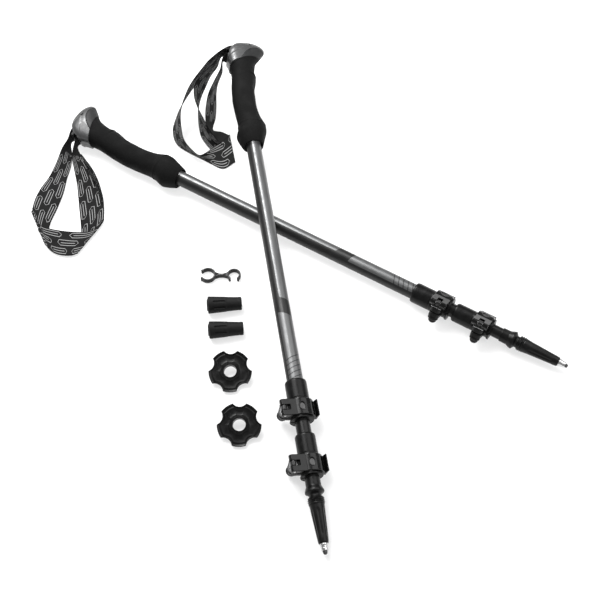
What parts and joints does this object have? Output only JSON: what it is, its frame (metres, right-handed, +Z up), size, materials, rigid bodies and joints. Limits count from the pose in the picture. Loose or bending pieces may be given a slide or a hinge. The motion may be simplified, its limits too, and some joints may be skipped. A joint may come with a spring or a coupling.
{
  "type": "trekking poles",
  "caption": "Telescopic trekking poles with foam grips, wrist straps, lever locks and carbide tips, laid crossed, with spare baskets, rubber tips and a joining clip.",
  "frame": {"origin": "middle of the footprint, on the ground", "axes": "+Z up; the right pole runs roughly along -Y from its head to its tip, and the left pole towards +X and -Y"},
  "size_m": [0.626, 0.6796, 0.0681],
  "materials": {
    "foam": "matte closed-cell foam",
    "head_shell": "satin grey moulding",
    "head_panel": "dark grey soft-touch moulding",
    "webbing": "charcoal woven webbing with a light geometric print",
    "black_plastic": "satin black moulding",
    "gloss_black": "glossy black moulding",
    "steel": "bright turned steel",
    "gunmetal": "anodised gunmetal with printed bands",
    "black_tube": "black anodised",
    "carbide": "sintered carbide",
    "rubber": "moulded rubber"
  },
  "bodies": {
    "left_upper": {"left_grip_foam": "foam", "left_head_core": "head_panel", "left_head_cap": "head_shell", "left_strap_pin": "steel", "left_wrist_strap": "webbing", "left_upper_shaft": "gunmetal", "left_upper_lock_collar": "black_plastic", "left_upper_lock_cam_plate": "steel", "left_upper_lock_hinge_pin": "steel", "left_upper_lock_eye_bolt": "steel"},
    "left_wedge": {"left_strap_wedge": "black_plastic"},
    "left_upper_lever": {"left_upper_lock_lever": "gloss_black"},
    "left_upper_nut": {"left_upper_lock_thumb_nut": "black_plastic"},
    "left_middle": {"left_middle_shaft": "black_tube", "left_middle_guide_bush": "black_plastic", "left_lower_lock_collar": "black_plastic", "left_lower_lock_cam_plate": "steel", "left_lower_lock_hinge_pin": "steel", "left_lower_lock_eye_bolt": "steel"},
    "left_lower_lever": {"left_lower_lock_lever": "gloss_black"},
    "left_lower_nut": {"left_lower_lock_thumb_nut": "black_plastic"},
    "left_lower": {"left_lower_shaft": "black_tube", "left_lower_guide_bush": "black_plastic", "left_tip_body": "black_plastic", "left_tip_holder": "steel", "left_carbide_tip": "carbide"},
    "right_upper": {"right_grip_foam": "foam", "right_head_core": "head_panel", "right_head_cap": "head_shell", "right_strap_pin": "steel", "right_wrist_strap": "webbing", "right_upper_shaft": "gunmetal", "right_upper_lock_collar": "black_plastic", "right_upper_lock_cam_plate": "steel", "right_upper_lock_hinge_pin": "steel", "right_upper_lock_eye_bolt": "steel"},
    "right_wedge": {"right_strap_wedge": "black_plastic"},
    "right_upper_lever": {"right_upper_lock_lever": "gloss_black"},
    "right_upper_nut": {"right_upper_lock_thumb_nut": "black_plastic"},
    "right_middle": {"right_middle_shaft": "black_tube", "right_middle_guide_bush": "black_plastic", "right_lower_lock_collar": "black_plastic", "right_lower_lock_cam_plate": "steel", "right_lower_lock_hinge_pin": "steel", "right_lower_lock_eye_bolt": "steel"},
    "right_lower_lever": {"right_lower_lock_lever": "gloss_black"},
    "right_lower_nut": {"right_lower_lock_thumb_nut": "black_plastic"},
    "right_lower": {"right_lower_shaft": "black_tube", "right_lower_guide_bush": "black_plastic", "right_tip_body": "black_plastic", "right_tip_holder": "steel", "right_carbide_tip": "carbide"},
    "joining_clip": {"joining_clip": "black_plastic"},
    "rubber_tip_1": {"rubber_tip_1": "rubber"},
    "rubber_tip_2": {"rubber_tip_2": "rubber"},
    "basket_1": {"basket_1": "black_plastic"},
    "basket_2": {"basket_2": "black_plastic"}
  },
  "joints": [
    {"name": "left_wedge_slide", "type": "slide", "parent": "left_upper", "child": "left_wedge", "axis": [-0.504, -0.8339, -0.2249], "range_m": [0, 0.004]},
    {"name": "left_upper_lever_hinge", "type": "hinge", "parent": "left_upper", "child": "left_upper_lever", "pos_m": [0.17254, -0.0556, 0.03251], "axis": [0.8571, -0.515, -0.011], "range_deg": [0, 150]},
    {"name": "left_upper_nut_turn", "type": "hinge", "parent": "left_upper", "child": "left_upper_nut", "pos_m": [0.16731, -0.06389, 0.01327], "axis": [0.2422, 0.3841, 0.891], "continuous": true},
    {"name": "left_lower_lever_hinge", "type": "hinge", "parent": "left_middle", "child": "left_lower_lever", "pos_m": [0.21728, -0.08248, 0.03194], "axis": [0.8571, -0.515, -0.011], "range_deg": [0, 150]},
    {"name": "left_lower_nut_turn", "type": "hinge", "parent": "left_middle", "child": "left_lower_nut", "pos_m": [0.21205, -0.09078, 0.01269], "axis": [0.2422, 0.3841, 0.891], "continuous": true},
    {"name": "left_middle_slide", "type": "slide", "parent": "left_upper", "child": "left_middle", "axis": [0.8571, -0.515, -0.011], "range_m": [-0.0045, 0.33]},
    {"name": "left_lower_slide", "type": "slide", "parent": "left_middle", "child": "left_lower", "axis": [0.8571, -0.515, -0.011], "range_m": [-0.011, 0.335]},
    {"name": "right_pole_lift", "type": "slide", "parent": "left_upper", "child": "right_upper", "axis": [0, 0, 1], "range_m": [0, 0.15]},
    {"name": "right_wedge_slide", "type": "slide", "parent": "right_upper", "child": "right_wedge", "axis": [-0.9703, -0.1688, 0.1733], "range_m": [0, 0.004]},
    {"name": "right_upper_lever_hinge", "type": "hinge", "parent": "right_upper", "child": "right_upper_lever", "pos_m": [0.00015, -0.1883, 0.03116], "axis": [0.1595, -0.985, -0.0663], "range_deg": [0, 150]},
    {"name": "right_upper_nut_turn", "type": "hinge", "parent": "right_upper", "child": "right_upper_nut", "pos_m": [-0.00249, -0.18729, 0.00974], "axis": [0.1223, -0.0469, 0.9914], "continuous": true},
    {"name": "right_lower_lever_hinge", "type": "hinge", "parent": "right_middle", "child": "right_lower_lever", "pos_m": [0.01024, -0.25055, 0.02697], "axis": [0.1595, -0.985, -0.0663], "range_deg": [0, 150]},
    {"name": "right_lower_nut_turn", "type": "hinge", "parent": "right_middle", "child": "right_lower_nut", "pos_m": [0.0076, -0.24954, 0.00555], "axis": [0.1223, -0.0469, 0.9914], "continuous": true},
    {"name": "right_middle_slide", "type": "slide", "parent": "right_upper", "child": "right_middle", "axis": [0.1595, -0.985, -0.0663], "range_m": [-0.0155, 0.319]},
    {"name": "right_lower_slide", "type": "slide", "parent": "right_middle", "child": "right_lower", "axis": [0.1595, -0.985, -0.0663], "range_m": [-0.001, 0.345]},
    {"name": "joining_clip_lift", "type": "slide", "parent": "left_upper", "child": "joining_clip", "axis": [0, 0, 1], "range_m": [0, 0.1]},
    {"name": "rubber_tip_1_lift", "type": "slide", "parent": "left_upper", "child": "rubber_tip_1", "axis": [0, 0, 1], "range_m": [0, 0.1]},
    {"name": "rubber_tip_2_lift", "type": "slide", "parent": "left_upper", "child": "rubber_tip_2", "axis": [0, 0, 1], "range_m": [0, 0.1]},
    {"name": "basket_1_lift", "type": "slide", "parent": "left_upper", "child": "basket_1", "axis": [0, 0, 1], "range_m": [0, 0.1]},
    {"name": "basket_2_lift", "type": "slide", "parent": "left_upper", "child": "basket_2", "axis": [0, 0, 1], "range_m": [0, 0.1]}
  ]
}
